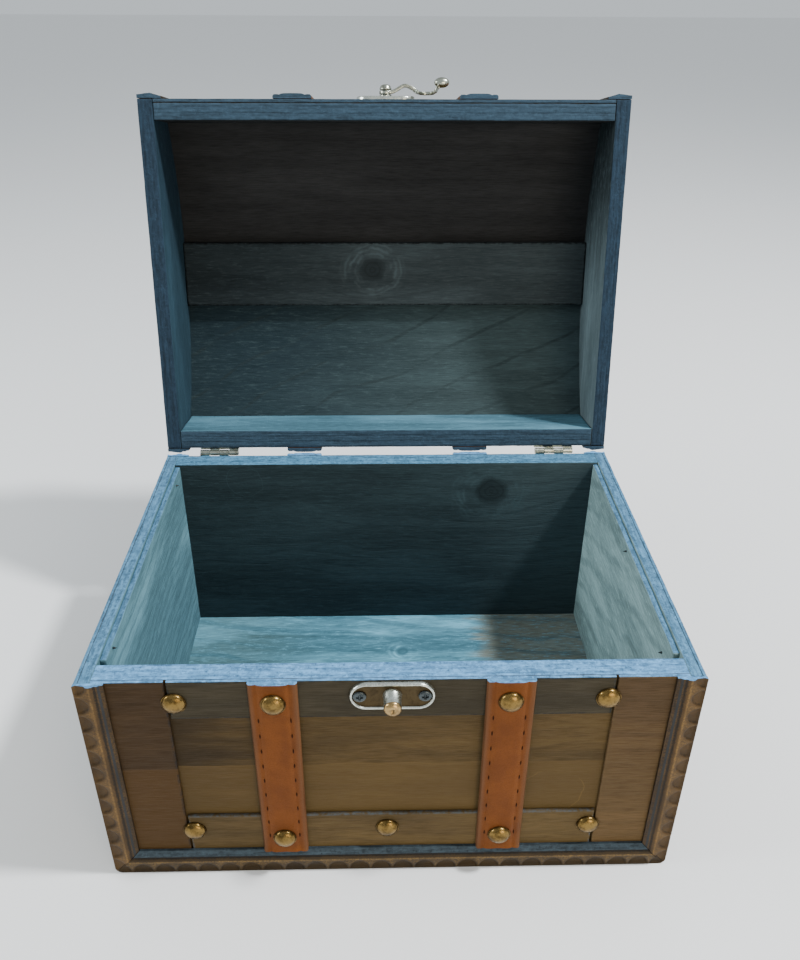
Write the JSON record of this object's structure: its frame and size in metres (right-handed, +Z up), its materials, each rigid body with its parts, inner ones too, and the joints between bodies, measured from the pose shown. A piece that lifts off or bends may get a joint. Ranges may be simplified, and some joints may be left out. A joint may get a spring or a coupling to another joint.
{
  "type": "wooden money box",
  "caption": "Treasure-chest money box in stained wood, with a domed hinged lid standing open, leather straps, domed tacks, edge mouldings and a hook latch.",
  "frame": {"origin": "middle of the underside, on the surface that the box stands on", "axes": "+Z up, +X to the right of someone facing the front, front face towards -Y, lid open towards +Y"},
  "size_m": [0.23, 0.2542, 0.2806],
  "materials": {
    "brown_wood": "brown stain over plywood, worn satin",
    "dark_wood": "darker brown stain over plywood, worn satin",
    "moulding_wood": "brown stained carved moulding with paler rubbed edges",
    "grey_wood": "thin blue-grey wash over bare plywood, matt",
    "leather": "tan strap leather with dark stitching",
    "brass": "antique brass, polished on the crown",
    "nickel": "worn nickel plate"
  },
  "bodies": {
    "chest_base": {"front_board": "brown_wood", "back_board": "brown_wood", "front_strip_bottom": "brown_wood", "front_strip_right": "brown_wood", "left_side_board": "brown_wood", "right_side_board": "brown_wood", "left_strip_top": "brown_wood", "left_strip_bottom": "brown_wood", "right_strip_top": "brown_wood", "right_strip_bottom": "brown_wood", "front_strip_top": "dark_wood", "front_strip_left": "dark_wood", "corner_moulding_front_left": "moulding_wood", "corner_moulding_front_right": "moulding_wood", "corner_moulding_back_left": "moulding_wood", "corner_moulding_back_right": "moulding_wood", "bottom_moulding_front": "moulding_wood", "bottom_moulding_back": "moulding_wood", "floor_panel": "grey_wood", "left_lining": "grey_wood", "right_lining": "grey_wood", "strap_front_left": "leather", "strap_front_right": "leather", "strap_back_left": "leather", "strap_back_right": "leather", "tack_top_left": "brass", "tack_top_right": "brass", "tack_bottom_left": "brass", "tack_bottom_middle": "brass", "tack_bottom_right": "brass", "strap_tack_left_top": "brass", "strap_tack_left_bottom": "brass", "strap_tack_right_top": "brass", "strap_tack_right_bottom": "brass", "keeper_plate": "nickel", "keeper_screw_left": "nickel", "keeper_screw_right": "nickel", "hinge_left_base_leaf": "nickel", "hinge_left_pin": "nickel", "hinge_right_base_leaf": "nickel", "hinge_right_pin": "nickel"},
    "lid": {"lid_front_strip": "brown_wood", "lid_panel_front": "brown_wood", "lid_panel_back": "brown_wood", "lid_moulding_left": "moulding_wood", "lid_moulding_right": "moulding_wood", "lid_front_rail": "grey_wood", "lid_back_rail": "grey_wood", "lid_left_end": "grey_wood", "lid_right_end": "grey_wood", "lid_batten": "grey_wood", "lid_strap_left": "leather", "lid_strap_right": "leather", "hinge_left_lid_leaf": "nickel", "hinge_right_lid_leaf": "nickel", "latch_plate": "nickel", "latch_rivet": "nickel", "latch_screw_left": "nickel", "latch_screw_right": "nickel"},
    "latch_hook": {"latch_arm": "nickel"}
  },
  "joints": [
    {"name": "lid_hinge", "type": "hinge", "parent": "chest_base", "child": "lid", "pos_m": [0, 0.08687, 0.1045], "axis": [1, 0, 0], "range_deg": [0, 101.1]},
    {"name": "latch_swing", "type": "hinge", "parent": "lid", "child": "latch_hook", "pos_m": [0, 0.13164, 0.27036], "axis": [0, -0.1925, -0.9813], "range_deg": [-90, 90]}
  ]
}
